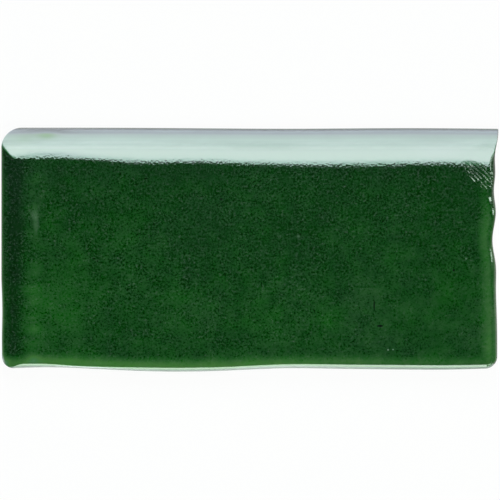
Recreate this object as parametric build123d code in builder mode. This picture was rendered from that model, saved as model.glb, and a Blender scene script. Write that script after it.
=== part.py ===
from build123d import *
import os

# A glazed ceramic bullnose tile, fired in one piece. It lies on its back with the glazed
# face up: length along X, the rounded nose towards +Y, the back on Z = 0. Millimetres.
length = 150.0
width = 73.75
thickness = 9.5

# The nose falls from the face in a quarter ellipse and ends in a short upright lip. It reaches
# further into the face towards the cut end.
soft_nose_reach = 12.4
cut_nose_reach = 15.7
nose_lip = 1.5

# The left end is softened by a flatter quarter ellipse, which meets the nose in a mitre.
soft_end_reach = 7.0
soft_end_drop = 1.8

# The butt edge and the cut end are only rounded off where the glaze turns over the edge.
arris_radius = 1.2

# The press leaves a narrow bevel round the back.
back_bevel = 0.5

# Corners of the outline, seen from above. The fourth, at the nose's cut end, is sharp.
nose_corner_radius = 6.3
soft_corner_radius = 3.6
cut_corner_radius = 3.5

# The butt edge and the cut end wander, as the clay shrinks unevenly in the kiln. Each pair
# is a place, as a share of that edge, and how far the edge there draws in from the overall
# size: along the butt edge from the left end, and along the cut end from the nose.
butt_left_draw = 1.0
butt_right_draw = 1.0
butt_wave = [(0.10, 1.4), (0.36, 0.0), (0.56, 1.0), (0.80, 0.6)]
cut_butt_draw = 0.5
cut_wave = [(0.09, 1.05), (0.27, 1.4), (0.35, 0.9), (0.46, 1.9), (0.58, 0.8), (0.84, 0.5)]

# Shallow keying grooves in the back run the length of the tile, inside a flat border.
groove_width = 4.0
groove_depth = 0.7
groove_pitch = 10.5
groove_border = 8.0

# The sections that shape the nose and the left end reach past the block by this much.
section_spare = 5.0

left, right = -length / 2, length / 2
butt, nose = -width / 2, width / 2

butt_left = (left, butt + butt_left_draw)
butt_right = (right - cut_butt_draw, butt + butt_right_draw)
butt_points = [(left + share * length, butt + draw) for share, draw in butt_wave]
cut_points = [(right - draw, nose - share * width) for share, draw in cut_wave]

groove_length = length - 2 * groove_border
groove_room = width - 2 * groove_border - groove_width
groove_count = int(groove_room // groove_pitch) + 1


with BuildPart() as tile:
    # The outline, with its rounded corners, as a block of full thickness.
    with BuildSketch() as outline:
        with BuildLine():
            Polyline(butt_left, (left, nose), (right, nose))
            Spline((right, nose), *cut_points, butt_right)
            Spline(butt_right, *reversed(butt_points), butt_left)
        make_face()
        rounded_corners = [
            ((left, nose), nose_corner_radius),
            (butt_left, soft_corner_radius),
            (butt_right, cut_corner_radius),
        ]
        for corner, radius in rounded_corners:
            fillet(outline.vertices().sort_by_distance(corner)[0], radius=radius)
    extrude(amount=thickness)

    # The rounded arris round the face and the bevel round the back.
    fillet(tile.edges().group_by(Axis.Z)[-1], radius=arris_radius)
    chamfer(tile.edges().group_by(Axis.Z)[0], length=back_bevel)

    # The nose: only what lies under the loft between its two sections stays.
    nose_sections = [
        (left - section_spare, soft_nose_reach),
        (right + section_spare, cut_nose_reach),
    ]
    for section_x, nose_reach in nose_sections:
        with BuildSketch(Plane.YZ.offset(section_x)):
            with BuildLine():
                EllipticalCenterArc(
                    (nose - nose_reach, nose_lip),
                    nose_reach,
                    thickness - nose_lip,
                    start_angle=0,
                    arc_size=90,
                )
                Polyline(
                    (nose - nose_reach, thickness),
                    (butt - section_spare, thickness),
                    (butt - section_spare, 0),
                    (nose, 0),
                    (nose, nose_lip),
                )
            make_face()
    loft(mode=Mode.INTERSECT)

    # The softened left end, cut the same way along Y.
    with BuildSketch(Plane.XZ.offset(butt - section_spare)):
        with BuildLine():
            EllipticalCenterArc(
                (left + soft_end_reach, thickness - soft_end_drop),
                soft_end_reach,
                soft_end_drop,
                start_angle=90,
                arc_size=90,
            )
            Polyline(
                (left, thickness - soft_end_drop),
                (left, 0),
                (right + section_spare, 0),
                (right + section_spare, thickness),
                (left + soft_end_reach, thickness),
            )
        make_face()
    extrude(amount=width + 2 * section_spare, mode=Mode.INTERSECT)

    # The keying grooves in the back.
    with BuildSketch():
        with GridLocations(0, groove_pitch, 1, groove_count):
            SlotOverall(groove_length, groove_width)
    extrude(amount=groove_depth, mode=Mode.SUBTRACT)

tile.part.label = "bullnose_tile"
os.makedirs("parts", exist_ok=True)
export_step(tile.part, "parts/bullnose_tile.step")
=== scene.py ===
"""A green glazed bullnose tile, lying on its back on a white floor and seen from straight above.

The tile is one closed mesh: a glazed top worked out on a grid, walls carried round the outline,
and a grooved clay back. Sizes are in millimetres until the mesh is written in metres.
"""

import math

import bpy
import numpy as np
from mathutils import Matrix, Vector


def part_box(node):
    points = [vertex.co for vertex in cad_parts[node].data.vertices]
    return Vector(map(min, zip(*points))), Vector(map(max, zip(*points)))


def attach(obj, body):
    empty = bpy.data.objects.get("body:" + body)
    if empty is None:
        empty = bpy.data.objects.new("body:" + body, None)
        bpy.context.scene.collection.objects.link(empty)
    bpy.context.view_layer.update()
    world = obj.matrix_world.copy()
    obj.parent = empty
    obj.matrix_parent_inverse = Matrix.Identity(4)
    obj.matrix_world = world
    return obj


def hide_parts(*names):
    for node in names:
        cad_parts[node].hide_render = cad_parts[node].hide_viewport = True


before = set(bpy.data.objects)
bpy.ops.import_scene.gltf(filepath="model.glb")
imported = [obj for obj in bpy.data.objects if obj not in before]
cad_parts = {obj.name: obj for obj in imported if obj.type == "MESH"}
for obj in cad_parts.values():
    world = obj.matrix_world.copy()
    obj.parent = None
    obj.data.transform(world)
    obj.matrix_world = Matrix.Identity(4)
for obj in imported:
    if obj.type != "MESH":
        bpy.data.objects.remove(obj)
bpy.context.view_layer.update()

NODE = "bullnose_tile"
MM = 0.001

box_low, box_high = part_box(NODE)
LENGTH, WIDTH, THICKNESS = ((high - low) / MM for low, high in zip(box_low, box_high))
LEFT, BUTT = box_low.x / MM, box_low.y / MM

# The nose: a quarter ellipse from the face down to an upright lip. Its reach, at shares of the
# length, wavers and grows to the right.
NOSE_LIP = 1.5
NOSE_REACH = [
    (0.0, 12.4), (0.18, 12.3), (0.27, 13.9), (0.42, 13.7), (0.50, 14.95),
    (0.60, 15.35), (0.76, 15.9), (0.86, 14.6), (0.92, 15.0), (1.0, 16.5),
]
SLOPE_STEP = 0.01

# The softened left end: a flatter quarter ellipse, mitred into the nose. The power sets how
# sharp the crease between the falls is.
SOFT_END_REACH = 7.0
SOFT_END_DROP = 1.8
CREASE_POWER = 16

# The small round of the other edges: along the butt edge from the left, down the cut end from
# the nose, where it starts almost sharp, and along the softened end.
BUTT_ARRIS = [
    (0.0, 1.6), (0.08, 1.6), (0.15, 0.9), (0.20, 1.05), (0.28, 1.5),
    (0.48, 1.6), (0.60, 1.75), (0.94, 1.8), (1.0, 1.6),
]
BUTT_ARRIS_DROP = 0.5
CUT_ARRIS = [
    (0.0, 0.25), (0.100, 0.3), (0.120, 1.1), (0.14, 1.6), (0.19, 1.5),
    (0.235, 1.3), (0.28, 2.1), (0.335, 1.4), (0.5, 1.3), (1.0, 1.3),
]
LEAST_ARRIS = 0.25
LEFT_ARRIS = 0.5
BACK_BEVEL = 0.5

# Outline corners, seen from above: (at the right, at the nose, radius).
CORNERS = [(False, True, 6.3), (False, False, 3.6), (True, False, 3.5), (True, True, 0.4)]

# How far each edge draws in from the overall size, at shares of that edge. The two long edges
# run from the left end, the two short ends from the nose. The draw fades out inside the tile.
BUTT_WAVE = [
    (0.0, 1.0), (0.10, 1.4), (0.24, 0.55), (0.36, 0.1), (0.48, 0.6),
    (0.56, 1.1), (0.68, 0.95), (0.80, 0.75), (0.90, 0.72), (1.0, 1.15),
]
NOSE_WAVE = [(0.0, 0.0), (0.10, 0.0), (0.35, 0.13), (0.60, 0.33), (0.80, 0.15), (1.0, 0.35)]
LEFT_WAVE = [(0.0, 0.0), (0.62, 0.0), (0.76, 0.28), (0.84, 0.18), (1.0, 0.3)]
CUT_WAVE = [
    (0.0, 0.0), (0.05, 0.4), (0.093, 1.03), (0.19, 1.05), (0.26, 1.45), (0.345, 0.88),
    (0.46, 1.9), (0.56, 0.9), (0.64, 0.8), (0.78, 0.56), (1.0, 0.5),
]
WAVE_FADE = 18.0

# Slow waves of the face: height, wavelength, direction in degrees and phase. The face sinks a
# little so that they stay inside the tile's height, and they fade out towards the edges.
FACE_WAVES = [(0.03, 46, 20, 0.4), (0.02, 27, 105, 1.9), (0.012, 17, 60, 4.0)]
FACE_SINK = 0.07
FACE_FADE = 8.0

# Low swellings on the nose near its left end: middle and radius along the nose, the distances
# from the lip at which each starts, reaches its top and fades, and its height.
SWELLS = [(-58.5, 11.0, 8.8, 6.0, 3.0, 0.12), (-46.0, 15.0, 5.2, 2.8, 2.8, 0.045)]

# Where the glaze on the face lies deeper or thinner, and where it is milky: middle, radii and
# how much, in millimetres from the middle of the tile.
POOLS = [
    (-55, -16, 11, 14, -0.06), (-38, 6, 7, 6, -0.03), (-29, 14, 5, 4, -0.03),
    (-23, -15, 6, 4, -0.035), (4, -21, 6, 4, -0.03), (24, -21, 5, 4, -0.04),
    (60, -9, 5, 5, -0.05), (56, -18, 5, 4, -0.03), (19, -3, 8, 7, 0.04), (-19, -6, 7, 5, 0.03),
    # The spot at -64.8, 9.4 paints a pale patch where the left end's round begins: a painted
    # reflection.
    (26, -13, 2.5, 2, 0.06), (-64.8, 9.4, 0.8, 2.8, -0.12), (-61, -2, 6, 25, -0.025),
    (-61.2, 8.6, 2.4, 2.6, -0.06),
]
MILKY = [
    (34, -16, 5, 6, 0.8), (37, -28, 8, 3, 0.6), (67, -27, 5, 5, 0.5), (-15, 10, 12, 7, 0.3),
    (0, 24, 90, 5, 0.25), (-55, -14, 12, 15, -0.4), (-38, 6, 8, 7, -0.3), (-23, -15, 7, 4, -0.2),
    (4, -21, 8, 5, -0.25), (24, -21, 6, 4, -0.3), (60, -12, 6, 9, -0.4), (-68, 18, 6, 9, 0.6),
    # The spot at -64.9, 9.6 makes that painted reflection at the left end's round milky.
    (-64.9, 9.6, 1.2, 3.2, 0.9), (-60.8, 8.4, 2.4, 2.6, -0.6),
]

# How deep the glaze lies on the face, and how much deeper towards the nose: amount, and the
# distances from the nose at which that starts and is full.
PLAIN_DEPTH = 0.67
NOSE_DEPTHS = [(0.05, 17, 12), (0.05, 60, 15)]
LEAST_DEPTH = 0.02

# The glaze on the softened end: a pool, thin lines at the edge and a thin, wavy rim inside it.
# Pairs are the value in the nose's half and in the butt's half, which change over between two
# distances from the butt edge.
HALF_CHANGE = (40, 15)
END_POOL = 0.22
END_POOL_START = (8.4, 7.0)
END_POOL_FULL = (4.4, 3.8)
END_POOL_CORNER = (1.5, 7)
END_LINES = [(0.19, 3.2, 0.7), (0.28, 0.9, 0.3)]
RIM_THIN = (0.035, 0.09)
RIM_PLACE = (10.2, 9.6)
RIM_RADIUS = 2.0
RIM_WAVES = [(0.6, 9, 80, 0.5), (0.4, 4.1, 100, 2.0)]

# How the glaze thins towards the cut end: amount, start and full distance from it, less by the
# nose, and a bead at its very edge.
CUT_THIN = (0.235, 6.3, 2.3)
CUT_THIN_AT_NOSE = 0.4
CUT_THIN_CHANGE = (16, 28)
CUT_BEAD = (0.10, 2.2, 1.3)

# How much the glaze thins towards the butt edge, along it from the left. On the right a thicker
# line runs along it, and the very edge is almost bare, painted pale with the reflection of the
# lamp beyond the butt edge.
BUTT_THIN = [(0.0, 0.26), (0.12, 0.31), (0.45, 0.31), (0.65, 0.28), (0.9, 0.20), (1.0, 0.20)]
BUTT_THIN_ZONE = (5.2, 1.5)
BUTT_LINE, BUTT_LINE_PLACE, BUTT_LINE_RADIUS = 0.07, 1.6, 0.3
BUTT_LINE_START = (85, 110)
BARE_EDGE_AND_REFLECTION = 0.34
BARE_EDGE_WIDTH = (0.62, 0.82)
BARE_EDGE_CHANGE = (60, 90)
BARE_EDGE_BLUR = 0.25
BARE_EDGE_START = (1.5, 4)

# The cut end's edge is slightly worn: how much, and where from the end and from the nose.
WORN = 0.03
WORN_FROM_END = (0.9, 0.4)
WORN_FROM_NOSE = (6, 10)

# Where the glaze is smoother, with fewer specks and painted glints, and the heights between which
# these begin.
CALM = [
    (55, -20, 26, 20, -0.45), (-25, 23.5, 40, 2.5, -0.3), (0, -31, 80, 3.0, -0.25),
    (-73, 0, 4, 45, -0.3),
]
SPECK_HEIGHTS = (3.0, 9.0)

# How strong the fine ripple is on the nose, in a belt where the nose begins and on the face, at
# shares of the nose's reach.
NOSE_PEEL, BELT_PEEL, FACE_PEEL = 0.06, 0.94, 0.2
BELT_START = (0.55, 0.72)
BELT_END = (0.95, 0.80)
FACE_PEEL_START = (0.80, 0.95)

# The height on the walls where the glaze stops, lower on the softened end and at the back along
# the nose, and its slow runs as waves.
GLAZE_STOP = 4.6
END_STOP_LOWER = 1.6
END_STOP_SPAN = 8.0
NOSE_STOP = (1, 7)
GLAZE_RUNS = [(0.8, 61, 35, 0.3), (0.5, 27, 75, 2.0), (0.35, 17, 10, 4.4), (0.2, 8.3, 48, 1.0)]

# The walls: how far the glaze stands out from the clay, how softly it stops, how deep it lies,
# where the wall takes over from the top, and how it thins just above its stop.
GLAZE_STEP = 0.22
STOP_ABOVE, STOP_BELOW = 0.25, 0.35
WALL_DEPTH = 0.62
WALL_START = (0.2, 1.6)
WALL_FROM_NOSE = (0.5, 3)
STOP_THIN, STOP_THIN_SPAN = 0.2, 1.2

# The nose's thin glaze, with its painted reflection, isn't carried over the round of the cut end
# past this fall.
CUT_FALL_LIMIT = 0.02

# Keying grooves in the back, and how far its grid goes past them.
GROOVE_WIDTH = 4.0
GROOVE_DEPTH = 0.7
GROOVE_PITCH = 10.5
GROOVE_BORDER = 8.0
GROOVE_WALL = 0.25
GROOVE_END_LINES = 7
BACK_SPARE_X, BACK_SPARE_Y = 3.0, 2.5

# How the grid lines are spread: edge zones, where they crowd towards the edge, and the field.
# The back has a quarter as many, and two rings of its border, each (inset, step), lead there.
NOSE_ZONE, NOSE_LINES = 16.0, 60
LEFT_ZONE, LEFT_LINES = 9.0, 30
BUTT_ZONE, BUTT_LINES = 4.0, 18
CUT_ZONE, CUT_LINES = 5.0, 22
FIELD_LINES_X, FIELD_LINES_Y = 260, 102
WALL_RINGS = 16
COARSE = 4
BORDER_RINGS = [(1.4, 2), (2.6, COARSE)]
SHARP_ANGLE = math.radians(40)

# What the mesh holds at each point, apart from what follows from its place, and which of the
# mesh's fields the glaze uses, by the names of its inputs.
GLAZE_FIELDS = ["glaze_depth", "glaze_cover", "nose_slope", "nose_mitre", "from_lip"]
GLAZE_INPUTS = {
    "Depth": "glaze_depth",
    "Milky": "glaze_milky",
    "Speck Glints": "glaze_speck_glints",
    "Peel": "glaze_peel",
    "Slope": "nose_slope",
    "Mitre": "nose_mitre",
    "From Lip": "from_lip",
    "Nose Reflection Hue": "nose_reflection_hue",
}

# The colour of the deep glaze by its depth, and of the thin glaze on the nose by the distance
# from the lip, up to a span. On the nose the strip lamp's reflection, and near the lip the
# floor's, are painted pale.
FACE_COLOURS = [
    # The palest stops also paint the reflection of the lamp beyond the butt edge along its very
    # edge.
    (0.04, (0.51, 0.55, 0.52)),
    (0.15, (0.27, 0.33, 0.28)),
    (0.26, (0.060, 0.180, 0.070)),
    (0.35, (0.058, 0.176, 0.040)),
    (0.45, (0.035, 0.123, 0.032)),
    (0.58, (0.0166, 0.083, 0.0184)),
    (0.70, (0.0070, 0.0500, 0.0105)),
    (0.92, (0.0050, 0.0285, 0.0084)),
]
NOSE_GLAZE_AND_REFLECTION_COLOURS = [
    (0.15, (0.03, 0.085, 0.05)),
    (0.6, (0.29, 0.29, 0.35)),
    (1.0, (0.455, 0.485, 0.55)),
    (1.5, (0.405, 0.425, 0.49)),
    (2.2, (0.50, 0.555, 0.57)),
    (3.5, (0.56, 0.65, 0.63)),
    (4.3, (0.445, 0.54, 0.515)),
    (5.1, (0.19, 0.30, 0.245)),
    (6.6, (0.028, 0.145, 0.055)),
]
NOSE_SPAN = 16.0

# Where the painted reflection on the nose is tinted leaf green, below zero, or lilac, above zero.
LEAF_COLOUR = (0.31, 0.47, 0.27, 1.0)
LILAC_REFLECTION_COLOUR = (0.22, 0.225, 0.255, 1.0)
NOSE_REFLECTION_HUES = [
    (-61.3, 34.4, 2.6, 1.0, -0.6), (-62.5, 34.8, 5.5, 0.8, -0.3), (-68, 33.5, 3.0, 1.5, -0.2),
    (-61, 36.0, 9, 0.9, 0.8), (-57, 28.6, 8, 1.0, 0.3), (-71, 30, 5, 5, -0.1),
    (57, 30, 9, 5, 0.12),
]

# The glaze turns from deep to the nose's thin glaze, with its painted reflection, where its slope
# passes from the first of these to the second and where the nose has fallen further than the
# softened end, within a blur.
NOSE_REFLECTION_SLOPE = (0.150, 0.165)
MITRE_BLUR = 0.03

# Cloudy mottle of the deep glaze, as (size, amount) pairs. It and the specks, with their painted
# glints, grow with depth.
CLOUDS = [(5.0, -0.115), (14.0, -0.07), (2.0, -0.08)]
DEPTH_GAIN, CLOUD_OFFSET, GRAIN_OFFSET = 2.2, -0.4, -0.54

# The hue of the deep glaze drifts with a mottle of this size, roughness and amount.
HUE_SIZE, HUE_ROUGHNESS, HUE_AMOUNT, HUE_MIDDLE = 4.0, 0.7, 1.2, 0.5
TINTS = [(0.0, (0.75, 1.08, 0.72)), (0.5, (1.0, 1.0, 1.0)), (1.0, (1.4, 1.04, 1.32))]

# Fine specks add or take this colour, in patches: speckle in the glaze, with painted glints and
# shade of its orange-peel surface. Dark ones are stronger.
SPECK_SIZE, SPECK_ROUGHNESS = 0.72, 0.8
SPECK_GLINT_COLOUR = (0.37, 0.26, 0.39)
SPECK_STRENGTH = 0.92
SPECK_DARK = 0.5
PATCH_SIZE = 4.5
PATCH_RANGE = (-0.5, 0.5)
PATCH_GAIN, PATCH_LEAST = 1.2, 0.4

# Small marks: middle, radii and strength, dark pits in the glaze below zero, and above zero pale
# marks that are painted glints and, at the left end, a painted reflection. Each fades between two
# shares of its radii.
MARKS = [
    (39.2, -23.0, 1.0, 0.4, -1.0), (61.4, -6.2, 0.4, 0.4, -0.9), (-8.7, 15.2, 0.4, 0.4, -0.9),
    (37.4, -16.7, 0.3, 1.7, -0.8), (41.6, -30.2, 0.25, 0.25, 0.6), (43.1, -30.1, 0.25, 0.2, 0.6),
    (65.1, -2.7, 0.3, 0.3, 0.3), (14.6, 4.0, 0.5, 0.45, 0.2), (-65.0, 10.4, 1.3, 1.6, 0.09),
    (-64.4, 7.6, 0.8, 2.6, 0.08),
]
MARK_FADE = (1.3, 0.4)
PIT_COLOUR = (0.002, 0.010, 0.004, 1.0)
GLINT_COLOUR = (0.30, 0.42, 0.33, 1.0)
PIT_DEPTH = 0.03

# Fine ripple of the glaze: its size, roughness and height, and how far apart its slope is read.
# A slow one, as (size, height), lies under it.
RIPPLE_SIZE, RIPPLE_ROUGHNESS, RIPPLE_HEIGHT, RIPPLE_STEP = 0.55, 0.3, 0.0155, 0.05
SLOW_RIPPLE = (7.0, 0.02)

# Slanting runs in the glaze beside the nose at the cut end: an oval that fades between two
# shares of its radii, the pitch and height of the runs, how they wander and break up as mottle,
# and the slopes of the nose between which they end.
STREAK_MIDDLE = (69.4, 22.4, 9.5)
STREAK_RADII = (3.8, 7.6)
STREAK_FADE = (1.0, 0.45)
STREAK_TURN = math.radians(47)
STREAK_PITCH = 1.0
STREAK_HEIGHT = 0.055
STREAK_WANDER = (2.6, 5.0)
STREAK_BREAK_SIZE = 2.0
STREAK_BREAKS = (-0.35, 0.05)
STREAK_SLOPES = (0.24, 0.15)

# Fired clay: its tone as mottle, as (size, amount) pairs round a middle, and its pores.
CLAY_MIDDLE = 0.5
CLAY_MOTTLE = [(6.0, 0.9), (0.6, 0.5)]
CLAY_COLOURS = [(0.0, (0.38, 0.26, 0.19)), (0.5, (0.52, 0.38, 0.29)), (1.0, (0.63, 0.50, 0.40))]
PORE_SIZE, PORE_ROUGHNESS, PORE_DEPTH = 0.5, 0.7, 0.05

# Surfaces, the detail of all mottle, and the kinds of the node groups' sockets.
GLAZE_ROUGHNESS, CLAY_ROUGHNESS = 0.07, 0.8
GLAZE_IOR = 1.65
NOISE_DETAIL = 3.0
VECTOR, VALUE, COLOUR = "NodeSocketVector", "NodeSocketFloat", "NodeSocketColor"

# The floor, in metres, and the share of it that is seen as plain white.
FLOOR_RADIUS, FLOOR_SIDES, FLOOR_DROP = 4.0, 96, 0.05 * MM
FLOOR_COLOUR = (0.95, 0.95, 0.95, 1.0)
PLAIN_WHITE = (1.0, 1.0, 1.0, 1.0)
FLOOR_WHITE = 0.94

# Two strip lamps, beyond the nose and beyond the butt edge. Levels are by the lean, from 0
# overhead to 1 at the floor. Across, they end between two shares of the sideways direction.
LAMP_POWER = 11.3
STRIP_ENDS = (0.115, 0.080)
STRIP_RISE = [(0.195, 0.0), (0.203, 0.60), (0.235, 0.66), (0.27, 0.91), (0.36, 0.93)]
NOSE_STRIP_FALL = [(0.46, 0.88), (0.56, 0.55), (0.66, 0.16), (0.75, 0.04), (1.0, 0.02)]
BUTT_STRIP_FALL = [(0.46, 0.78), (0.56, 0.50), (0.66, 0.15), (0.75, 0.04), (1.0, 0.02)]
NOSE_STRIP_TONES = [(0.22, (0.78, 0.94, 0.98)), (0.28, (0.89, 0.957, 1.0))]
BUTT_STRIP_TONE = (0.83, 0.96, 0.86, 1.0)

# Small lamps: from and to in degrees round from +X, from and to in degrees down from the top,
# and level. They light the cut end's edge, the slanting runs and the butt's right corner.
SMALL_LAMPS = [(7, 13, 21, 57, 0.9), (36, 54, 21, 35, 0.75), (-70, -50, 23, 38, 0.5)]
SMALL_LAMP_TONE = (0.78, 1.0, 0.84)
LAMP_BLUR = 2.0

# The white horizon, by height.
HORIZON = [(0.0, 1.0), (0.08, 0.8), (0.28, 0.28), (0.5, 0.07), (0.9, 0.02)]

# The camera: a long lens, and the middle and width of what it sees at a height on the tile.
CAMERA_LENS, CAMERA_SENSOR = 800.0, 36.0
VIEW_MIDDLE_X, VIEW_MIDDLE_Y, VIEW_HEIGHT, VIEW_WIDTH = -0.02, -0.11, 8.0, 150.75


def smooth_step(value, start, end):
    """Rises from 0 at start to 1 at end along the cubic 3t2 - 2t3."""
    t = np.clip((value - start) / (end - start), 0, 1)
    return t * t * (3 - 2 * t)


def between(pair, share):
    """The value part way from the first of a pair to the second."""
    first, second = pair
    return first + (second - first) * share


def bell(value, middle, radius):
    """A bell curve: e to minus the square of the distance from its middle, in radii."""
    return np.exp(-(((value - middle) / radius) ** 2))


def smooth_line(knots, at):
    """The natural cubic spline through (place, value) knots, kept from going below zero: its
    bend is continuous and is zero at both ends, and comes from one small linear system."""
    place, value = np.array(knots, float).T
    gap = np.diff(place)
    inner = np.arange(1, len(gap))
    system = np.eye(len(place))
    system[inner, inner - 1] = gap[:-1]
    system[inner, inner] = 2 * (gap[:-1] + gap[1:])
    system[inner, inner + 1] = gap[1:]
    pull = np.zeros(len(place))
    pull[inner] = 6 * np.diff(np.diff(value) / gap)
    bend = np.linalg.solve(system, pull)
    at = np.clip(at, place[0], place[-1])
    span = np.clip(np.searchsorted(place, at) - 1, 0, len(gap) - 1)
    width = gap[span]
    before = (place[span + 1] - at) / width
    after = 1 - before
    straight = before * value[span] + after * value[span + 1]
    curved = (before**3 - before) * bend[span] + (after**3 - after) * bend[span + 1]
    return np.clip(straight + curved * width**2 / 6, 0, None)


def ripples(x, y, waves):
    """A sum of sine waves, each given as (height, wavelength, direction in degrees, phase)."""
    total = np.zeros(np.broadcast(x, y).shape)
    for height, wavelength, direction, phase in waves:
        turn = math.radians(direction)
        run = x * math.cos(turn) + y * math.sin(turn)
        total += height * np.sin(2 * np.pi * run / wavelength + phase)
    return total


def soft_spots(x, y, spots):
    """A sum of bell-shaped spots, each given as (x, y, radius in x, radius in y, height)."""
    total = np.zeros(x.shape)
    for middle_x, middle_y, radius_x, radius_y, height in spots:
        total += height * bell(x, middle_x, radius_x) * bell(y, middle_y, radius_y)
    return total


def edge_zone(size, lines):
    """Places from 0 at an edge to the zone's end, crowded towards the edge as 1 - cos."""
    return size * (1 - np.cos(np.linspace(0, np.pi / 2, lines + 1)))


def grid_lines(total, near, near_lines, far, far_lines, field_lines):
    """Grid lines over a size: an edge zone at each end and even spacing in the field between."""
    start = edge_zone(near, near_lines)
    end = total - edge_zone(far, far_lines)[::-1]
    field = np.linspace(near, total - far, field_lines + 1)
    return np.concatenate([start[:-1], field, end[1:]])


def plan(square_x, square_y):
    """Where a point of the plain rectangle lies on the real outline, seen from above.

    In a corner cell as wide as the corner's radius, squares round the cell's inner corner
    become circles of the same half size, which rounds the corner. Each edge then draws in by
    its wave, fading out inside. Returns x and y, and the distances from the left end and the
    nose before the waves.
    """
    x = square_x.copy()
    y = square_y.copy()
    for at_right, at_nose, radius in CORNERS:
        from_end = LENGTH - square_x if at_right else square_x
        from_side = WIDTH - square_y if at_nose else square_y
        across = np.clip(radius - from_end, 0, None)
        along = np.clip(radius - from_side, 0, None)
        reach = np.hypot(across, along)
        shrink = 1 - np.maximum(across, along) / np.where(reach > 0, reach, 1)
        shrink = np.where((across > 0) & (along > 0), shrink, 0)
        x += across * shrink * (-1 if at_right else 1)
        y += along * shrink * (-1 if at_nose else 1)
    from_left, from_nose = x, WIDTH - y
    share_x, share_y = x / LENGTH, from_nose / WIDTH
    x = (
        x
        + smooth_line(LEFT_WAVE, share_y) * smooth_step(x, WAVE_FADE, 0)
        - smooth_line(CUT_WAVE, share_y) * smooth_step(LENGTH - x, WAVE_FADE, 0)
    )
    y = (
        y
        + smooth_line(BUTT_WAVE, share_x) * smooth_step(y, WAVE_FADE, 0)
        - smooth_line(NOSE_WAVE, share_x) * smooth_step(from_nose, WAVE_FADE, 0)
    )
    return x + LEFT, y + BUTT, from_left, from_nose


def inset_loop(square_x, square_y, inset):
    """The outline's ring of points, as x and y, moved in from the edge by an inset."""
    inner_x = np.clip(square_x, inset, LENGTH - inset)
    inner_y = np.clip(square_y, inset, WIDTH - inset)
    return plan(inner_x, inner_y)[:2]


def ellipse_drop(distance, reach, drop):
    """How far a quarter ellipse has fallen, from nothing at its reach to its drop at the edge."""
    share = np.clip((reach - distance) / reach, 0, 1)
    return drop * (1 - np.sqrt(1 - share**2))


def nose_fall(from_left, from_nose):
    """How far the nose has fallen below the face, as a quarter ellipse of the reach there."""
    reach = smooth_line(NOSE_REACH, from_left / LENGTH)
    return ellipse_drop(from_nose, reach, THICKNESS - NOSE_LIP)


def end_fall(from_left):
    """How far the softened end has fallen below the face, as a quarter ellipse."""
    return ellipse_drop(from_left, SOFT_END_REACH, SOFT_END_DROP)


def cut_fall(square_x, from_nose):
    """How far the round of the cut end has fallen, as a quarter circle of the arris there."""
    arris = np.maximum(smooth_line(CUT_ARRIS, from_nose / WIDTH), LEAST_ARRIS)
    return ellipse_drop(LENGTH - square_x, arris, arris)


def nose_swell(x, from_nose):
    """Low swellings on the nose: a bell along it, a smooth step up and a fade to the lip."""
    total = np.zeros(x.shape)
    for middle, radius, start, top, fade, height in SWELLS:
        rise = smooth_step(from_nose, start, top) * smooth_step(from_nose, 0, fade)
        total += height * bell(x, middle, radius) * rise
    return total


def nose_slope(from_left, from_nose, x):
    """How steeply the nose falls towards its lip, read between two near places."""
    near = np.clip(from_nose - SLOPE_STEP, 0, None)
    far = from_nose + SLOPE_STEP
    fall = nose_fall(from_left, near) - nose_fall(from_left, far)
    rise = nose_swell(x, near) - nose_swell(x, far)
    return (fall - rise) / (far - near)


def top_height(square_x, square_y, x, y, from_left, from_nose):
    """Height of the glazed top: the face less the falls of nose, softened end and arrises.

    The falls are joined as the sixteenth root of the sum of their sixteenth powers, which is
    their largest with the crease between them slightly rounded. The round of the cut end then
    follows what they leave, and slow waves of the face and the nose's swellings are added.
    """
    butt_arris = smooth_line(BUTT_ARRIS, from_left / LENGTH)
    falls = [
        nose_fall(from_left, from_nose),
        end_fall(from_left),
        ellipse_drop(square_x, LEFT_ARRIS, LEFT_ARRIS),
        ellipse_drop(square_y, butt_arris, BUTT_ARRIS_DROP * butt_arris),
    ]
    joined = sum(fall**CREASE_POWER for fall in falls) ** (1 / CREASE_POWER)
    below = joined + cut_fall(square_x, from_nose)
    inset = np.minimum.reduce([square_x, LENGTH - square_x, square_y, WIDTH - square_y])
    face = (ripples(x, y, FACE_WAVES) - FACE_SINK) * smooth_step(inset, 0, FACE_FADE)
    return THICKNESS - below + face + nose_swell(x, from_nose)


def soft_end_depth(x, y, from_left, from_butt):
    """What the softened end adds to the glaze's depth: a pool on its round, less thin lines at
    its edge and a rim inside it, a bell across and two sine waves along."""
    low = smooth_step(from_butt, *HALF_CHANGE)
    pool = smooth_step(from_left, between(END_POOL_START, low), between(END_POOL_FULL, low))
    depth = END_POOL * pool * smooth_step(from_butt, *END_POOL_CORNER)
    for amount, start, full in END_LINES:
        depth -= amount * smooth_step(from_left, start, full)
    rim = bell(from_left, between(RIM_PLACE, low), RIM_RADIUS)
    return depth - between(RIM_THIN, low) * (1 + ripples(x, y, RIM_WAVES)) * rim


def cut_thinning(from_right, from_nose):
    """How much the glaze thins towards the cut end: a smooth step, less by the nose and less
    the bead at the edge."""
    amount, start, full = CUT_THIN
    share = between((CUT_THIN_AT_NOSE, 1), smooth_step(from_nose, *CUT_THIN_CHANGE))
    bead, bead_start, bead_full = CUT_BEAD
    thin = amount * smooth_step(from_right, start, full) * share
    return thin - bead * smooth_step(from_right, bead_start, bead_full)


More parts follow.
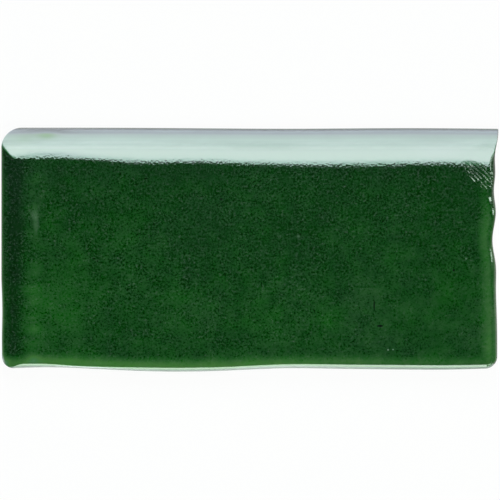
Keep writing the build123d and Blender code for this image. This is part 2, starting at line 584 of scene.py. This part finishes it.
def butt_thinning(from_left, from_butt):
    """How much the glaze thins towards the butt edge: a smooth step as strong as BUTT_THIN
    says, less a bell for the thicker line along it."""
    thin = smooth_line(BUTT_THIN, from_left / LENGTH) * smooth_step(from_butt, *BUTT_THIN_ZONE)
    line = bell(from_butt, BUTT_LINE_PLACE, BUTT_LINE_RADIUS)
    return thin - BUTT_LINE * line * smooth_step(from_left, *BUTT_LINE_START)


def bare_edge_and_reflection(from_left, from_butt):
    """How much the glaze has drawn back from the very edge of the butt, which also paints the
    reflection of the lamp beyond the butt edge there: a smooth step across a width that changes
    along it."""
    width = between(BARE_EDGE_WIDTH, smooth_step(from_left, *BARE_EDGE_CHANGE))
    across = smooth_step(from_butt, width, width - BARE_EDGE_BLUR)
    return BARE_EDGE_AND_REFLECTION * across * smooth_step(from_left, *BARE_EDGE_START)


def glaze_depth(square_x, square_y, x, y, from_left, from_nose):
    """How deep the glaze lies, from 0 where clay shows through to 1 where it has pooled. At the
    butt's very edge its lowest values also carry a painted reflection.

    It is deep on the softened end, thin on the rim inside it, and thins towards the butt edge
    and the cut end, whichever of the two thins it more.
    """
    depth = PLAIN_DEPTH + soft_spots(x, y, POOLS)
    for amount, start, full in NOSE_DEPTHS:
        depth += amount * smooth_step(from_nose, start, full)
    depth += soft_end_depth(x, y, from_left, square_y)
    cut = cut_thinning(LENGTH - square_x, from_nose)
    depth -= np.maximum(cut, butt_thinning(from_left, square_y))
    # The butt's very edge is painted paler: thin glaze with a painted reflection of the lamp
    # beyond it.
    depth -= bare_edge_and_reflection(from_left, square_y)
    return np.clip(depth, LEAST_DEPTH, 1)


def glaze_peel(x, y):
    """How strong the fine ripple of the glaze is: most in a belt where the nose begins, some
    on the face and hardly any on the nose, joined by smooth steps."""
    reach = smooth_line(NOSE_REACH, (x - LEFT) / LENGTH)
    share = (BUTT + WIDTH - y) / reach
    belt = smooth_step(share, *BELT_START) * smooth_step(share, *BELT_END)
    return NOSE_PEEL + BELT_PEEL * belt + FACE_PEEL * smooth_step(share, *FACE_PEEL_START)


def glaze_line(x, y, from_left, from_nose):
    """Height on the walls where the glaze stops: at the back along the nose, part way down
    the softened end and higher on the butt edge and the cut end, with slow sine runs."""
    plain = GLAZE_STOP - END_STOP_LOWER * smooth_step(from_left, END_STOP_SPAN, 0)
    return (plain + ripples(x, y, GLAZE_RUNS)) * smooth_step(from_nose, *NOSE_STOP)


def quads_of_grid(index):
    """Quads between neighbouring rows and columns of an index grid, as seen from above."""
    corners = [index[:-1, :-1], index[:-1, 1:], index[1:, 1:], index[1:, :-1]]
    return np.stack(corners, axis=-1).reshape(-1, 4)


def rim_of_grid(grid):
    """The border of a grid of rows, once round from its first corner, turning left."""
    return np.concatenate([grid[0, :-1], grid[:-1, -1], grid[-1, :0:-1], grid[:0:-1, 0]])


def ring_quads(upper, lower):
    """Quads of the wall between two closed rings of as many points, facing outwards."""
    return np.stack([lower, np.roll(lower, -1), np.roll(upper, -1), upper], axis=-1)


def halving_triangles(fine, coarse):
    """Triangles between a closed ring and one inside it with half as many points, as seen
    from below."""
    first, middle, last = fine[0::2], fine[1::2], np.roll(fine[0::2], -1)
    after = np.roll(coarse, -1)
    corners = [(first, coarse, middle), (middle, coarse, after), (middle, after, last)]
    return np.concatenate([np.stack(three, axis=-1) for three in corners])


def back_lines_x(count):
    """Lines across the back: crowded where the grooves end, even between."""
    end = LENGTH / 2 - GROOVE_BORDER
    turn = np.linspace(0, np.pi / 2, GROOVE_END_LINES)
    turns = end - GROOVE_WIDTH / 2 * (1 - np.cos(turn))
    side = np.concatenate([[end + BACK_SPARE_X, end + GROOVE_WALL], turns[:-1]])
    field = np.linspace(-turns[-1], turns[-1], count - 2 * side.size)
    return np.concatenate([-side, field, side[::-1]])


def back_lines_y(count):
    """Lines along the back: a pair at each groove wall, the rest shared out between. Returns
    them and the middles of the grooves."""
    grooves = int((WIDTH - 2 * GROOVE_BORDER - GROOVE_WIDTH) // GROOVE_PITCH) + 1
    middles = (np.arange(grooves) - (grooves - 1) / 2) * GROOVE_PITCH
    half = GROOVE_WIDTH / 2
    walls = (middles[:, None] + [-half, GROOVE_WALL - half, half - GROOVE_WALL, half]).ravel()
    edge = walls[-1] + BACK_SPARE_Y
    lines = np.concatenate([[-edge], walls, [edge]])
    while lines.size < count:
        widest = np.argmax(np.diff(lines))
        lines = np.insert(lines, widest + 1, (lines[widest] + lines[widest + 1]) / 2)
    return lines, middles


def groove_height(x, y, middles):
    """Height of the back: 0 on the flats and the groove depth inside a slot with round ends,
    with a wall as steep as GROOVE_WALL allows."""
    run = LENGTH / 2 - GROOVE_BORDER - GROOVE_WIDTH / 2
    past = np.clip(np.abs(x) - run, 0, None)
    off = np.min(np.abs(y[..., None] - middles), axis=-1)
    inside = GROOVE_WIDTH / 2 - np.hypot(past, off)
    return GROOVE_DEPTH * np.clip(inside / GROOVE_WALL, 0, 1)


def build_tile():
    """The whole tile as one closed mesh, with what its glaze does at each point."""
    rows = []

    def add_points(x, y, z, *fields):
        """Adds points with their glaze fields, and returns their numbers laid out as x is."""
        first = sum(len(row) for row in rows)
        spare = [0.0] * (len(GLAZE_FIELDS) - len(fields))
        columns = np.broadcast_arrays(x, y, z, *fields, *spare)
        rows.append(np.stack(columns, axis=-1).reshape(-1, len(columns)))
        return first + np.arange(np.size(x)).reshape(np.shape(x))

    # The glazed top.
    line_x = grid_lines(LENGTH, LEFT_ZONE, LEFT_LINES, CUT_ZONE, CUT_LINES, FIELD_LINES_X)
    line_y = grid_lines(WIDTH, BUTT_ZONE, BUTT_LINES, NOSE_ZONE, NOSE_LINES, FIELD_LINES_Y)
    square_x, square_y = np.meshgrid(line_x, line_y)
    x, y, from_left, from_nose = plan(square_x, square_y)
    z = top_height(square_x, square_y, x, y, from_left, from_nose)
    depth = glaze_depth(square_x, square_y, x, y, from_left, from_nose)
    uncut = smooth_step(cut_fall(square_x, from_nose), CUT_FALL_LIMIT, 0)
    slope = nose_slope(from_left, from_nose, x) * uncut
    mitre = nose_fall(from_left, from_nose) - end_fall(from_left)
    worn = WORN * smooth_step(LENGTH - square_x, *WORN_FROM_END)
    worn *= smooth_step(from_nose, *WORN_FROM_NOSE)
    top = add_points(x, y, z, depth, 1 - worn, slope, mitre, from_nose)
    quads = [quads_of_grid(top)]
    triangles = []

    # The walls: rings from the top's border down to the bevel, then in to the back.
    above = rim_of_grid(top)
    line = rim_of_grid(glaze_line(x, y, from_left, from_nose))
    parts = (square_x, square_y, z, depth, slope, mitre, from_nose)
    rim_x, rim_y, rim_top, rim_depth, rim_slope, rim_mitre, rim_nose = map(rim_of_grid, parts)
    for share in np.linspace(0, 1, WALL_RINGS + 1)[1:]:
        ring_z = rim_top + (BACK_BEVEL - rim_top) * share
        bare = smooth_step(ring_z, line + STOP_ABOVE, line - STOP_BELOW)
        ring_x, ring_y = inset_loop(rim_x, rim_y, GLAZE_STEP * bare)
        wall = smooth_step(rim_top - ring_z, *WALL_START)
        wall *= smooth_step(rim_nose, *WALL_FROM_NOSE)
        wall_depth = rim_depth * (1 - wall) + WALL_DEPTH * wall
        wall_depth -= STOP_THIN * smooth_step(ring_z, line + STOP_THIN_SPAN, line)
        wall_slope = rim_slope * (1 - wall)
        fields = (wall_depth, 1 - bare, wall_slope, rim_mitre, rim_nose)
        ring = add_points(ring_x, ring_y, ring_z, *fields)
        quads.append(ring_quads(above, ring))
        above = ring
    ring_x, ring_y = inset_loop(rim_x, rim_y, BACK_BEVEL)
    fine = add_points(ring_x, ring_y, 0.0)
    quads.append(ring_quads(above, fine))

    # The flat border of the back, where the rings thin out to a quarter of the points.
    for inset, step in BORDER_RINGS:
        ring_x, ring_y = inset_loop(rim_x[::step], rim_y[::step], inset)
        coarse = add_points(ring_x, ring_y, 0.0)
        triangles.append(halving_triangles(fine, coarse))
        fine = coarse

    # The field of the back, with its grooves.
    lines_x = back_lines_x((line_x.size - 1) // COARSE + 1)
    lines_y, middles = back_lines_y((line_y.size - 1) // COARSE + 1)
    back_x, back_y = np.meshgrid(lines_x, lines_y)
    back = add_points(back_x, back_y, groove_height(back_x, back_y, middles))
    quads.append(quads_of_grid(back)[:, ::-1])
    quads.append(ring_quads(fine, rim_of_grid(back)))

    table = np.concatenate(rows)
    x, y, z = table[:, :3].T
    specks = SPECK_STRENGTH + soft_spots(x, y, CALM)
    fields = dict(zip(GLAZE_FIELDS, table[:, 3:].T))
    fields["glaze_milky"] = soft_spots(x, y, MILKY)
    fields["glaze_peel"] = glaze_peel(x, y)
    fields["glaze_speck_glints"] = specks * smooth_step(z, *SPECK_HEIGHTS)
    fields["nose_reflection_hue"] = soft_spots(x, y, NOSE_REFLECTION_HUES)
    faces = np.concatenate(quads).tolist() + np.concatenate(triangles).tolist()
    return piece_from_arrays("glazed_tile", table[:, :3] * MM, faces, fields)


def piece_from_arrays(name, points, faces, attributes):
    """A smooth-shaded mesh object from arrays, with edges past SHARP_ANGLE kept sharp."""
    mesh = bpy.data.meshes.new(name)
    mesh.from_pydata(points, [], faces)
    for key, values in attributes.items():
        mesh.attributes.new(key, "FLOAT", "POINT").data.foreach_set("value", values)
    mesh.shade_smooth()
    mesh.set_sharp_from_angle(angle=SHARP_ANGLE)
    return link_object(name, mesh)


def link_object(name, data):
    """A new object with this data, in the scene."""
    made = bpy.data.objects.new(name, data)
    bpy.context.scene.collection.objects.link(made)
    return made


def add_node(tree, kind, inputs=None, **settings):
    """Adds a node, sets its settings and fills its inputs: sockets are linked, values set."""
    node = tree.nodes.new(kind)
    for key, value in settings.items():
        setattr(node, key, value)
    for key, value in (inputs or {}).items():
        if isinstance(value, bpy.types.NodeSocket):
            tree.links.new(value, node.inputs[key])
        else:
            node.inputs[key].default_value = value
    return node


def math_node(tree, operation, first, second=0.0, third=0.0, clamp=False):
    """The output of a Math node."""
    inputs = {0: first, 1: second, 2: third}
    node = add_node(tree, "ShaderNodeMath", inputs, operation=operation, use_clamp=clamp)
    return node.outputs[0]


def vector_node(tree, operation, first, second=(0.0, 0.0, 0.0), scale=1.0):
    """The vector output of a Vector Math node."""
    inputs = {0: first, 1: second}
    if operation == "SCALE":
        inputs = {0: first, "Scale": scale}
    return add_node(tree, "ShaderNodeVectorMath", inputs, operation=operation).outputs[0]


def ramp_node(tree, factor, stops):
    """The colour of a ramp with (place, colour) stops."""
    node = add_node(tree, "ShaderNodeValToRGB", {"Fac": factor})
    elements = node.color_ramp.elements
    while len(elements) < len(stops):
        elements.new(0.5)
    for element, (place, colour) in zip(elements, stops):
        element.position = place
        element.color = (*colour, 1)
    return node.outputs["Color"]


def grey_ramp(tree, factor, stops):
    """A ramp of greys with (place, value) stops."""
    return ramp_node(tree, factor, [(place, (value,) * 3) for place, value in stops])


def mix_node(tree, factor, first, second, blend="MIX"):
    """The colour of a Mix node. Its colour sockets are the inputs 6 and 7 and the output 2."""
    inputs = {0: factor, 6: first, 7: second}
    node = add_node(tree, "ShaderNodeMix", inputs, data_type="RGBA", blend_type=blend)
    return node.outputs[2]


def window(tree, value, start, full):
    """Rises smoothly from 0 where a value is at start to 1 where it is at full."""
    inputs = {"Value": value, "From Min": start, "From Max": full}
    node = add_node(tree, "ShaderNodeMapRange", inputs, interpolation_type="SMOOTHSTEP")
    return node.outputs[0]


def field_node(tree, name):
    """One of the mesh's own fields."""
    return add_node(tree, "ShaderNodeAttribute", attribute_name=name).outputs["Fac"]


def place_in_mm(tree):
    """Object coordinates in millimetres."""
    place = add_node(tree, "ShaderNodeTexCoord").outputs["Object"]
    return vector_node(tree, "SCALE", place, scale=1 / MM)


def new_group(name, inputs, outputs):
    """An empty node group with named sockets, and its input and output nodes."""
    tree = bpy.data.node_groups.new(name, "ShaderNodeTree")
    for side, sockets in (("INPUT", inputs), ("OUTPUT", outputs)):
        for key, kind in sockets:
            tree.interface.new_socket(key, in_out=side, socket_type=kind)
    return tree, tree.nodes.new("NodeGroupInput"), tree.nodes.new("NodeGroupOutput")


def use_group(tree, group, inputs):
    """A placed node group."""
    return add_node(tree, "ShaderNodeGroup", inputs, node_tree=group)


def make_grain_group():
    """Mottle of a given size in millimetres: fractal noise centred on 0."""
    sockets = [("Place", VECTOR), ("Size", VALUE), ("Roughness", VALUE)]
    tree, entry, leave = new_group("mottle", sockets, [("Mottle", VALUE)])
    inputs = {
        "Vector": entry.outputs["Place"],
        "Scale": math_node(tree, "DIVIDE", 1.0, entry.outputs["Size"]),
        "Detail": NOISE_DETAIL,
        "Roughness": entry.outputs["Roughness"],
    }
    noise = add_node(tree, "ShaderNodeTexNoise", inputs)
    centred = math_node(tree, "MULTIPLY_ADD", noise.outputs["Fac"], 2.0, -1.0)
    tree.links.new(centred, leave.inputs["Mottle"])
    return tree


def mottle(tree, group, place, size, roughness=0.5):
    """The output of a placed mottle group."""
    inputs = {"Place": place, "Size": size, "Roughness": roughness}
    return use_group(tree, group, inputs).outputs["Mottle"]


def add_mottle(tree, grain, place, parts, total):
    """A total with mottle added to it, as (size, amount) parts."""
    for size, amount in parts:
        total = math_node(tree, "MULTIPLY_ADD", mottle(tree, grain, place, size), amount, total)
    return total


def streaks(tree, grain, place):
    """Slanting runs in the glaze beside the nose at the cut end: sine waves across the runs,
    broken up by mottle, inside one soft oval."""
    middle = vector_node(tree, "SUBTRACT", place, STREAK_MIDDLE)
    inputs = {"Vector": middle, "Angle": -STREAK_TURN}
    turned = add_node(tree, "ShaderNodeVectorRotate", inputs, rotation_type="Z_AXIS")
    axes = add_node(tree, "ShaderNodeSeparateXYZ", {0: turned.outputs[0]}).outputs
    across = math_node(tree, "DIVIDE", axes[0], STREAK_RADII[0])
    along = math_node(tree, "DIVIDE", axes[1], STREAK_RADII[1])
    along = math_node(tree, "MULTIPLY", along, along)
    far = math_node(tree, "SQRT", math_node(tree, "MULTIPLY_ADD", across, across, along))
    inside = window(tree, far, *STREAK_FADE)
    phase = math_node(tree, "MULTIPLY", axes[0], 2 * math.pi / STREAK_PITCH)
    phase = add_mottle(tree, grain, place, [STREAK_WANDER], phase)
    broken = window(tree, mottle(tree, grain, place, STREAK_BREAK_SIZE), *STREAK_BREAKS)
    wave = math_node(tree, "MULTIPLY", math_node(tree, "SINE", phase), STREAK_HEIGHT)
    return math_node(tree, "MULTIPLY", wave, math_node(tree, "MULTIPLY", inside, broken))


def speck_glint_strength(tree, grain, place, depth, specks):
    """How much of the speck colour, with its painted glints and shade, is added, or taken where
    below
    zero: fine mottle times its own size, more so where dark, in patches and where the glaze is
    deep."""
    patchy = window(tree, mottle(tree, grain, place, PATCH_SIZE), *PATCH_RANGE)
    patchy = math_node(tree, "MULTIPLY_ADD", patchy, PATCH_GAIN, PATCH_LEAST)
    speck = mottle(tree, grain, place, SPECK_SIZE, SPECK_ROUGHNESS)
    dark = math_node(tree, "MULTIPLY", math_node(tree, "MINIMUM", speck, 0.0), SPECK_DARK)
    strong = math_node(tree, "ABSOLUTE", math_node(tree, "ADD", speck, dark))
    speck = math_node(tree, "MULTIPLY", speck, strong)
    speck = math_node(tree, "MULTIPLY", speck, patchy)
    grainy = math_node(tree, "MULTIPLY_ADD", depth, DEPTH_GAIN, GRAIN_OFFSET, clamp=True)
    return math_node(tree, "MULTIPLY", speck, math_node(tree, "MULTIPLY", grainy, specks))


def face_colour(tree, grain, place, depth, milky, specks):
    """The deep glaze: a colour by depth, varied by cloudy mottle, with a hue that drifts
    between pure and greyish green, most where it is milky, and fine specks with painted glints."""
    full = math_node(tree, "MULTIPLY_ADD", depth, DEPTH_GAIN, CLOUD_OFFSET, clamp=True)
    cloud = add_mottle(tree, grain, place, CLOUDS, 0.0)
    cloudy = math_node(tree, "MULTIPLY_ADD", cloud, full, depth)
    colour = ramp_node(tree, cloudy, FACE_COLOURS)
    drift = mottle(tree, grain, place, HUE_SIZE, HUE_ROUGHNESS)
    hue = math_node(tree, "MULTIPLY_ADD", drift, HUE_AMOUNT, HUE_MIDDLE)
    hue = math_node(tree, "ADD", hue, milky, clamp=True)
    colour = mix_node(tree, full, colour, ramp_node(tree, hue, TINTS), "MULTIPLY")
    strength = speck_glint_strength(tree, grain, place, depth, specks)
    speck = vector_node(tree, "SCALE", SPECK_GLINT_COLOUR, scale=strength)
    return vector_node(tree, "MAXIMUM", vector_node(tree, "ADD", colour, speck))


def nose_glaze_and_reflection(tree, from_lip, hue):
    """The thin glaze on the nose, with the strip lamp's reflection painted pale on it: a colour
    by the distance from the lip, pale near the lip and green further up, tinted leaf green or
    lilac in places."""
    place = math_node(tree, "DIVIDE", from_lip, NOSE_SPAN)
    stops = [(distance / NOSE_SPAN, colour) for distance, colour in NOSE_GLAZE_AND_REFLECTION_COLOURS]
    colour = ramp_node(tree, place, stops)
    lilac = math_node(tree, "MAXIMUM", hue, 0.0, clamp=True)
    leaf = math_node(tree, "MULTIPLY", math_node(tree, "MINIMUM", hue, 0.0), -1.0, clamp=True)
    colour = mix_node(tree, lilac, colour, LILAC_REFLECTION_COLOUR)
    return mix_node(tree, leaf, colour, LEAF_COLOUR)


def mark_mask(tree, place, marks):
    """A mask of small soft ovals, each as strong as its mark says."""
    total = 0.0
    for middle_x, middle_y, radius_x, radius_y, strength in marks:
        offset = vector_node(tree, "SUBTRACT", place, (middle_x, middle_y, 0.0))
        offset = vector_node(tree, "MULTIPLY", offset, (1 / radius_x, 1 / radius_y, 0.0))
        measure = add_node(tree, "ShaderNodeVectorMath", {0: offset}, operation="LENGTH")
        inside = window(tree, measure.outputs["Value"], *MARK_FADE)
        total = math_node(tree, "MULTIPLY_ADD", inside, abs(strength), total)
    return total


def fine_ripple(tree, grain, place, peel, offset=0.0):
    """Height of the fine ripple at a place moved by an offset towards the nose."""
    there = vector_node(tree, "ADD", place, (0.0, offset, 0.0))
    height = mottle(tree, grain, there, RIPPLE_SIZE, RIPPLE_ROUGHNESS)
    height = math_node(tree, "MULTIPLY", height, RIPPLE_HEIGHT)
    return math_node(tree, "MULTIPLY", height, peel)


def make_glaze_group(grain):
    """Colour and ripple of the green glaze.

    It is deep on the face and thin on the nose, where the strip lamp's reflection is painted pale
    on it. The line between the two is where the fall towards the lip, with that of the fine
    ripple, grows past a set slope, so it is ragged.
    """
    sockets = [("Place", VECTOR)] + [(key, VALUE) for key in GLAZE_INPUTS]
    results = [("Colour", COLOUR), ("Ripple", VALUE)]
    tree, entry, leave = new_group("green_glaze", sockets, results)
    place, peel, slope = (entry.outputs[key] for key in ("Place", "Peel", "Slope"))
    behind = fine_ripple(tree, grain, place, peel, -RIPPLE_STEP)
    ahead = fine_ripple(tree, grain, place, peel, RIPPLE_STEP)
    falling = math_node(tree, "SUBTRACT", behind, ahead)
    falling = math_node(tree, "MULTIPLY_ADD", falling, 0.5 / RIPPLE_STEP, slope)
    steep = window(tree, falling, *NOSE_REFLECTION_SLOPE)
    past_mitre = window(tree, entry.outputs["Mitre"], -MITRE_BLUR, MITRE_BLUR)
    painted_reflection_mask = math_node(tree, "MULTIPLY", steep, past_mitre)
    looks = (entry.outputs[key] for key in ("Depth", "Milky", "Speck Glints"))
    deep = face_colour(tree, grain, place, *looks)
    pits = mark_mask(tree, place, [mark for mark in MARKS if mark[-1] < 0])
    painted_glints = mark_mask(tree, place, [mark for mark in MARKS if mark[-1] > 0])
    deep = mix_node(tree, pits, deep, PIT_COLOUR)
    # Pale marks: painted glints, and a painted reflection at the left end.
    deep = mix_node(tree, painted_glints, deep, GLINT_COLOUR)
    # The nose: thin glaze with a painted reflection of the strip lamp, pale towards the lip.
    thin = nose_glaze_and_reflection(tree, entry.outputs["From Lip"], entry.outputs["Nose Reflection Hue"])
    colour = mix_node(tree, painted_reflection_mask, deep, thin)
    ripple = fine_ripple(tree, grain, place, peel)
    ripple = add_mottle(tree, grain, place, [SLOW_RIPPLE], ripple)
    level = window(tree, slope, *STREAK_SLOPES)
    ripple = math_node(tree, "MULTIPLY_ADD", streaks(tree, grain, place), level, ripple)
    ripple = math_node(tree, "MULTIPLY_ADD", pits, -PIT_DEPTH, ripple)
    tree.links.new(colour, leave.inputs["Colour"])
    tree.links.new(ripple, leave.inputs["Ripple"])
    return tree


def make_clay_group(grain):
    """Colour and pores of the fired clay where no glaze covers it."""
    results = [("Colour", COLOUR), ("Pores", VALUE)]
    tree, entry, leave = new_group("fired_clay", [("Place", VECTOR)], results)
    place = entry.outputs["Place"]
    tone = add_mottle(tree, grain, place, CLAY_MOTTLE, CLAY_MIDDLE)
    colour = ramp_node(tree, tone, CLAY_COLOURS)
    pores = mottle(tree, grain, place, PORE_SIZE, PORE_ROUGHNESS)
    pores = math_node(tree, "MULTIPLY", pores, PORE_DEPTH)
    tree.links.new(colour, leave.inputs["Colour"])
    tree.links.new(pores, leave.inputs["Pores"])
    return tree


def glazed_clay_material(grain):
    """Glossy green glaze that ends on bare fired clay, by the mesh's own depth and cover."""
    material = bpy.data.materials.new("glazed_clay")
    material.use_nodes = True
    tree = material.node_tree
    shader = tree.nodes["Principled BSDF"]
    place = place_in_mm(tree)
    cover = field_node(tree, "glaze_cover")
    inputs = {key: field_node(tree, name) for key, name in GLAZE_INPUTS.items()}
    glaze = use_group(tree, make_glaze_group(grain), {"Place": place, **inputs}).outputs
    clay = use_group(tree, make_clay_group(grain), {"Place": place}).outputs
    colour = mix_node(tree, cover, clay["Colour"], glaze["Colour"])
    smoother = GLAZE_ROUGHNESS - CLAY_ROUGHNESS
    roughness = math_node(tree, "MULTIPLY_ADD", cover, smoother, CLAY_ROUGHNESS)
    ripple = math_node(tree, "MULTIPLY", glaze["Ripple"], cover)
    bare = math_node(tree, "SUBTRACT", 1.0, cover)
    height = math_node(tree, "MULTIPLY_ADD", clay["Pores"], bare, ripple)
    bump = add_node(tree, "ShaderNodeBump", {"Height": height, "Distance": MM, "Strength": 1.0})
    tree.links.new(colour, shader.inputs["Base Color"])
    tree.links.new(roughness, shader.inputs["Roughness"])
    tree.links.new(bump.outputs["Normal"], shader.inputs["Normal"])
    shader.inputs["IOR"].default_value = GLAZE_IOR
    return material


def floor_material():
    """White floor: most of what the camera, mirrors and glass see of it is plain white, and
    the rest is lit, so that it stays white and keeps the tile's shadow."""
    material = bpy.data.materials.new("white_floor")
    material.use_nodes = True
    tree = material.node_tree
    tree.nodes.remove(tree.nodes["Principled BSDF"])
    lit = add_node(tree, "ShaderNodeBsdfDiffuse", {"Color": FLOOR_COLOUR})
    white = add_node(tree, "ShaderNodeEmission", {"Color": PLAIN_WHITE, "Strength": 1.0})
    path = add_node(tree, "ShaderNodeLightPath").outputs
    seen = math_node(tree, "MAXIMUM", path["Is Camera Ray"], path["Is Glossy Ray"])
    seen = math_node(tree, "MAXIMUM", seen, path["Is Transmission Ray"])
    share = math_node(tree, "MULTIPLY", seen, FLOOR_WHITE)
    inputs = {0: share, 1: lit.outputs[0], 2: white.outputs[0]}
    mixed = add_node(tree, "ShaderNodeMixShader", inputs)
    tree.links.new(mixed.outputs[0], tree.nodes["Material Output"].inputs["Surface"])
    return material


def build_floor():
    """A flat round floor just under the tile: one face, its corners evenly round a circle."""
    turn = 2 * np.pi * np.arange(FLOOR_SIDES) / FLOOR_SIDES
    drop = np.full(FLOOR_SIDES, -FLOOR_DROP)
    points = np.stack([FLOOR_RADIUS * np.cos(turn), FLOOR_RADIUS * np.sin(turn), drop], axis=-1)
    mesh = bpy.data.meshes.new("floor")
    mesh.from_pydata(points, [], [list(range(FLOOR_SIDES))])
    mesh.materials.append(floor_material())
    floor = link_object("floor", mesh)


def soft_range(tree, angle, start, end):
    """1 where an angle lies between two places, given in degrees, with soft ends."""
    rising = window(tree, angle, math.radians(start - LAMP_BLUR), math.radians(start))
    falling = window(tree, angle, math.radians(end + LAMP_BLUR), math.radians(end))
    return math_node(tree, "MULTIPLY", rising, falling)


def strip_lamps(tree, x, y, z):
    """The colour of the strip lamps in a direction: a level by the lean away from overhead,
    towards the nose or the butt edge, with soft ends across and a tone of its own."""
    lean = math_node(tree, "ARCTAN2", math_node(tree, "ABSOLUTE", y), z)
    lean = math_node(tree, "DIVIDE", lean, math.pi / 2)
    across = window(tree, math_node(tree, "ABSOLUTE", x), *STRIP_ENDS)
    beyond_nose = grey_ramp(tree, lean, STRIP_RISE + NOSE_STRIP_FALL)
    beyond_butt = grey_ramp(tree, lean, STRIP_RISE + BUTT_STRIP_FALL)
    at_nose = math_node(tree, "GREATER_THAN", y, 0.0)
    profile = mix_node(tree, at_nose, beyond_butt, beyond_nose)
    level = math_node(tree, "MULTIPLY", profile, across)
    level = math_node(tree, "MULTIPLY", level, LAMP_POWER)
    tone = ramp_node(tree, lean, NOSE_STRIP_TONES)
    tone = mix_node(tree, at_nose, BUTT_STRIP_TONE, tone)
    return vector_node(tree, "SCALE", tone, scale=level)


def small_lamps(tree, x, y, z):
    """The colour of the small lamps in a direction: patches between two turns and two angles
    from the top."""
    turn = math_node(tree, "ARCTAN2", y, x)
    from_top = math_node(tree, "ARCCOSINE", z)
    total = 0.0
    for low_turn, high_turn, low_angle, high_angle, level in SMALL_LAMPS:
        round_about = soft_range(tree, turn, low_turn, high_turn)
        up_down = soft_range(tree, from_top, low_angle, high_angle)
        patch = math_node(tree, "MULTIPLY", round_about, up_down)
        total = math_node(tree, "MULTIPLY_ADD", patch, level, total)
    total = math_node(tree, "MULTIPLY", total, LAMP_POWER)
    return vector_node(tree, "SCALE", SMALL_LAMP_TONE, scale=total)


def build_light():
    """The studio as the world's light: a strip lamp beyond the nose and one beyond the butt
    edge, three small lamps, dark overhead, and a white horizon."""
    world = bpy.data.worlds.new("studio")
    bpy.context.scene.world = world
    world.use_nodes = True
    tree = world.node_tree
    toward = add_node(tree, "ShaderNodeTexCoord").outputs["Generated"]
    x, y, z = add_node(tree, "ShaderNodeSeparateXYZ", {0: toward}).outputs
    lamps = vector_node(tree, "ADD", strip_lamps(tree, x, y, z), small_lamps(tree, x, y, z))
    glow = vector_node(tree, "ADD", grey_ramp(tree, z, HORIZON), lamps)
    tree.links.new(glow, tree.nodes["Background"].inputs["Color"])


def build_camera():
    """A long lens straight above, with the photograph's frame at a height near the face."""
    data = bpy.data.cameras.new("camera")
    data.lens = CAMERA_LENS
    data.sensor_width = CAMERA_SENSOR
    distance = VIEW_WIDTH * CAMERA_LENS / CAMERA_SENSOR
    camera = link_object("camera", data)
    camera.location = (VIEW_MIDDLE_X * MM, VIEW_MIDDLE_Y * MM, (VIEW_HEIGHT + distance) * MM)
    bpy.context.scene.camera = camera


bpy.context.scene.view_settings.view_transform = "Standard"
tile = build_tile()
tile.data.materials.append(glazed_clay_material(make_grain_group()))
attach(tile, "root")
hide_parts(NODE)
build_floor()
build_light()
build_camera()
